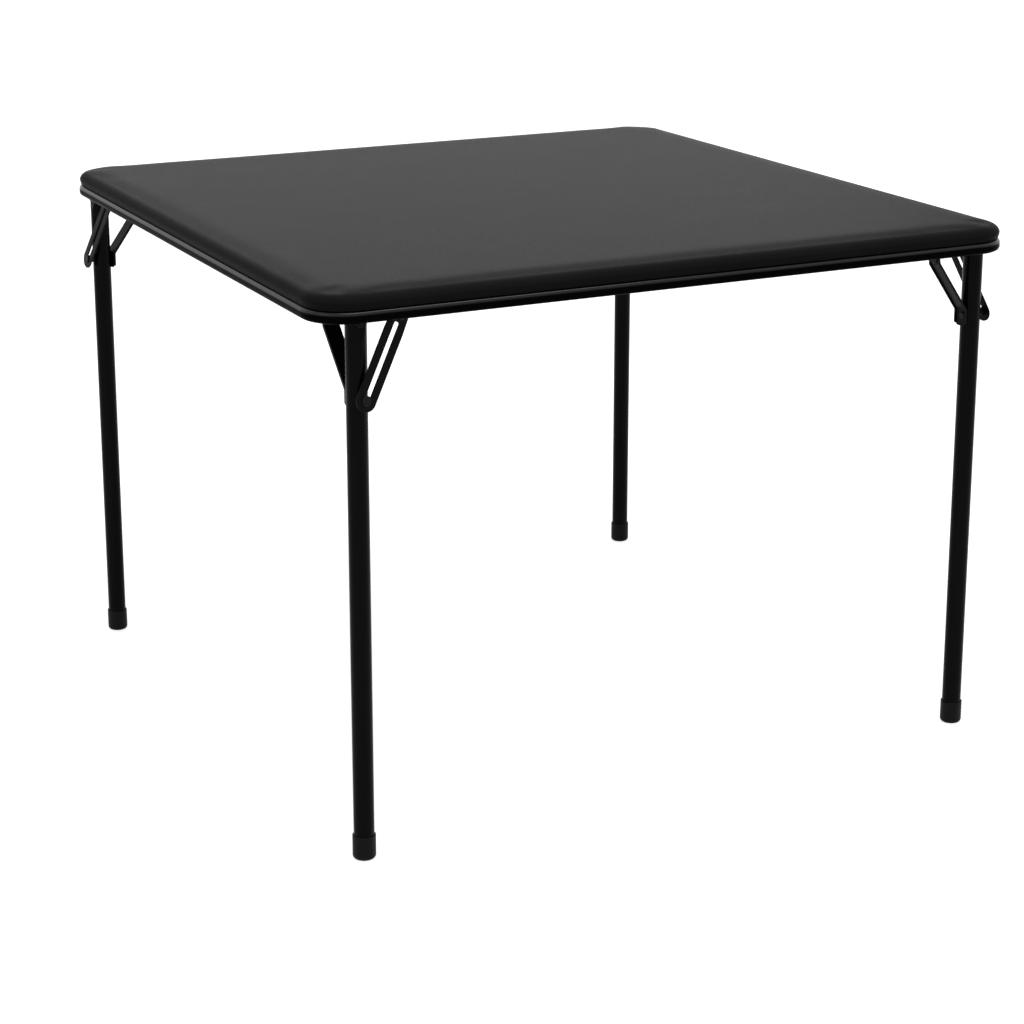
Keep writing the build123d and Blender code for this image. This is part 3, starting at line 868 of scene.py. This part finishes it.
@dataclass(frozen=True)
class Studio:
    """Plain white floor, soft lights and the camera at the photograph's viewing angle.

    Attributes:
        eye: Where the camera stands, in metres.
        yaw: Turn of the view to the right of +Y, in radians.
        pitch: How far the view looks down, in radians.
        focal: Focal length, in pixels of the picture.
        sky: Colour of the light from all round, sRGB hex.
        sky_light: Strength of that light.
        floor_colour: Colour of the floor, sRGB hex.
        floor_glow: What the floor adds to its own colour where it is seen.
        floor_reach: How far the floor reaches each way from its middle, in metres.
        floor_gap: How far the floor lies below the feet, in metres.
    """

    eye: Place = (-1.418393, -2.858551, 1.27593)
    yaw: float = 0.460
    pitch: float = 0.313
    focal: float = 2364.549
    sky: str = "#f4f6fa"
    sky_light: float = 0.35
    floor_colour: str = "#e6e6e6"
    floor_glow: float = 0.78
    floor_reach: float = 14.0
    floor_gap: float = 0.0002

    def build(self) -> None:
        """Set up the view, the world, the floor and the lamps."""
        bpy.context.scene.view_settings.view_transform = "Standard"
        self.camera()
        self.world()
        self.floor()
        for softbox in SOFTBOXES:
            softbox.hang()

    def camera(self) -> None:
        """Place the camera."""
        data = bpy.data.cameras.new("camera")
        data.sensor_width = SENSOR_MM
        data.lens = self.focal * SENSOR_MM / PICTURE_WIDTH
        made = bpy.data.objects.new("camera", data)
        bpy.context.collection.objects.link(made)
        ahead = Vector((math.cos(self.pitch) * math.sin(self.yaw),
                        math.cos(self.pitch) * math.cos(self.yaw), -math.sin(self.pitch)))
        made.location = self.eye
        made.rotation_euler = ahead.to_track_quat("-Z", "Y").to_euler()
        bpy.context.scene.camera = made

    @staticmethod
    def seen(tree: bpy.types.NodeTree) -> bpy.types.NodeSocket:
        """Give 1 for a ray from the camera, a reflection or a clear surface, and 0 for any other.

        Args:
            tree: The node tree that gets the nodes.

        Returns:
            The value output.
        """
        path = add_node(tree, "ShaderNodeLightPath")
        direct = add_node(tree, "ShaderNodeMath", {
            0: path.outputs["Is Camera Ray"], 1: path.outputs["Is Glossy Ray"]}, operation="MAXIMUM")
        either = add_node(tree, "ShaderNodeMath", {
            0: direct.outputs["Value"], 1: path.outputs["Is Transmission Ray"]}, operation="MAXIMUM")
        return either.outputs["Value"]

    def world(self) -> None:
        """Add even light from all round, white where the camera or a reflection sees it."""
        world = bpy.data.worlds.new("studio")
        bpy.context.scene.world = world
        world.use_nodes = True
        tree = world.node_tree
        tree.nodes.clear()
        light = add_node(tree, "ShaderNodeBackground", {
            "Color": linear(self.sky), "Strength": self.sky_light})
        white = add_node(tree, "ShaderNodeBackground", {"Color": WHITE, "Strength": 1.0})
        mix = add_node(tree, "ShaderNodeMixShader", {
            "Fac": self.seen(tree), 1: light.outputs["Background"], 2: white.outputs["Background"]})
        add_node(tree, "ShaderNodeOutputWorld", {"Surface": mix.outputs["Shader"]})

    def floor(self) -> None:
        """Add a floor that looks plain white from above, with no shadow, and is clear from below."""
        shape = bmesh.new()
        bmesh.ops.create_grid(shape, x_segments=1, y_segments=1, size=self.floor_reach)
        bmesh.ops.translate(shape, verts=shape.verts, vec=(0, 0, -self.floor_gap))
        mesh = bpy.data.meshes.new("floor")
        shape.to_mesh(mesh)
        shape.free()
        made = bpy.data.objects.new("floor", mesh)
        bpy.context.collection.objects.link(made)
        mesh.materials.append(self.floor_paint())

    def floor_paint(self) -> bpy.types.Material:
        """Make the floor's paint.

        Returns:
            A matt paint that glows only where it is seen, and lets light through from below.
        """
        paint = bpy.data.materials.new("matt_white_floor")
        paint.use_nodes = True
        tree = paint.node_tree
        tree.nodes.clear()
        diffuse = add_node(tree, "ShaderNodeBsdfDiffuse", {"Color": linear(self.floor_colour)})
        glow = add_node(tree, "ShaderNodeEmission", {"Color": WHITE, "Strength": self.floor_glow})
        both = add_node(tree, "ShaderNodeAddShader", {
            0: diffuse.outputs["BSDF"], 1: glow.outputs["Emission"]})
        shown = add_node(tree, "ShaderNodeMixShader", {
            "Fac": self.seen(tree), 1: diffuse.outputs["BSDF"], 2: both.outputs["Shader"]})
        side = add_node(tree, "ShaderNodeNewGeometry")
        clear = add_node(tree, "ShaderNodeBsdfTransparent")
        mix = add_node(tree, "ShaderNodeMixShader", {
            "Fac": side.outputs["Backfacing"], 1: shown.outputs["Shader"], 2: clear.outputs["BSDF"]})
        add_node(tree, "ShaderNodeOutputMaterial", {"Surface": mix.outputs["Shader"]})
        return paint


def main() -> None:
    """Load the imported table, set up the studio round it, and dress and pad it."""
    logging.basicConfig(level=logging.INFO, format="%(message)s")
    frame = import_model()
    Studio().build()
    PackedPieces(frame["nodes"]).dress()
    top = PaddedTop().build()
    LOG.info("built %s with %d faces", top.name, len(top.data.polygons))
    bpy.context.view_layer.update()


if __name__ == "__main__":
    main()
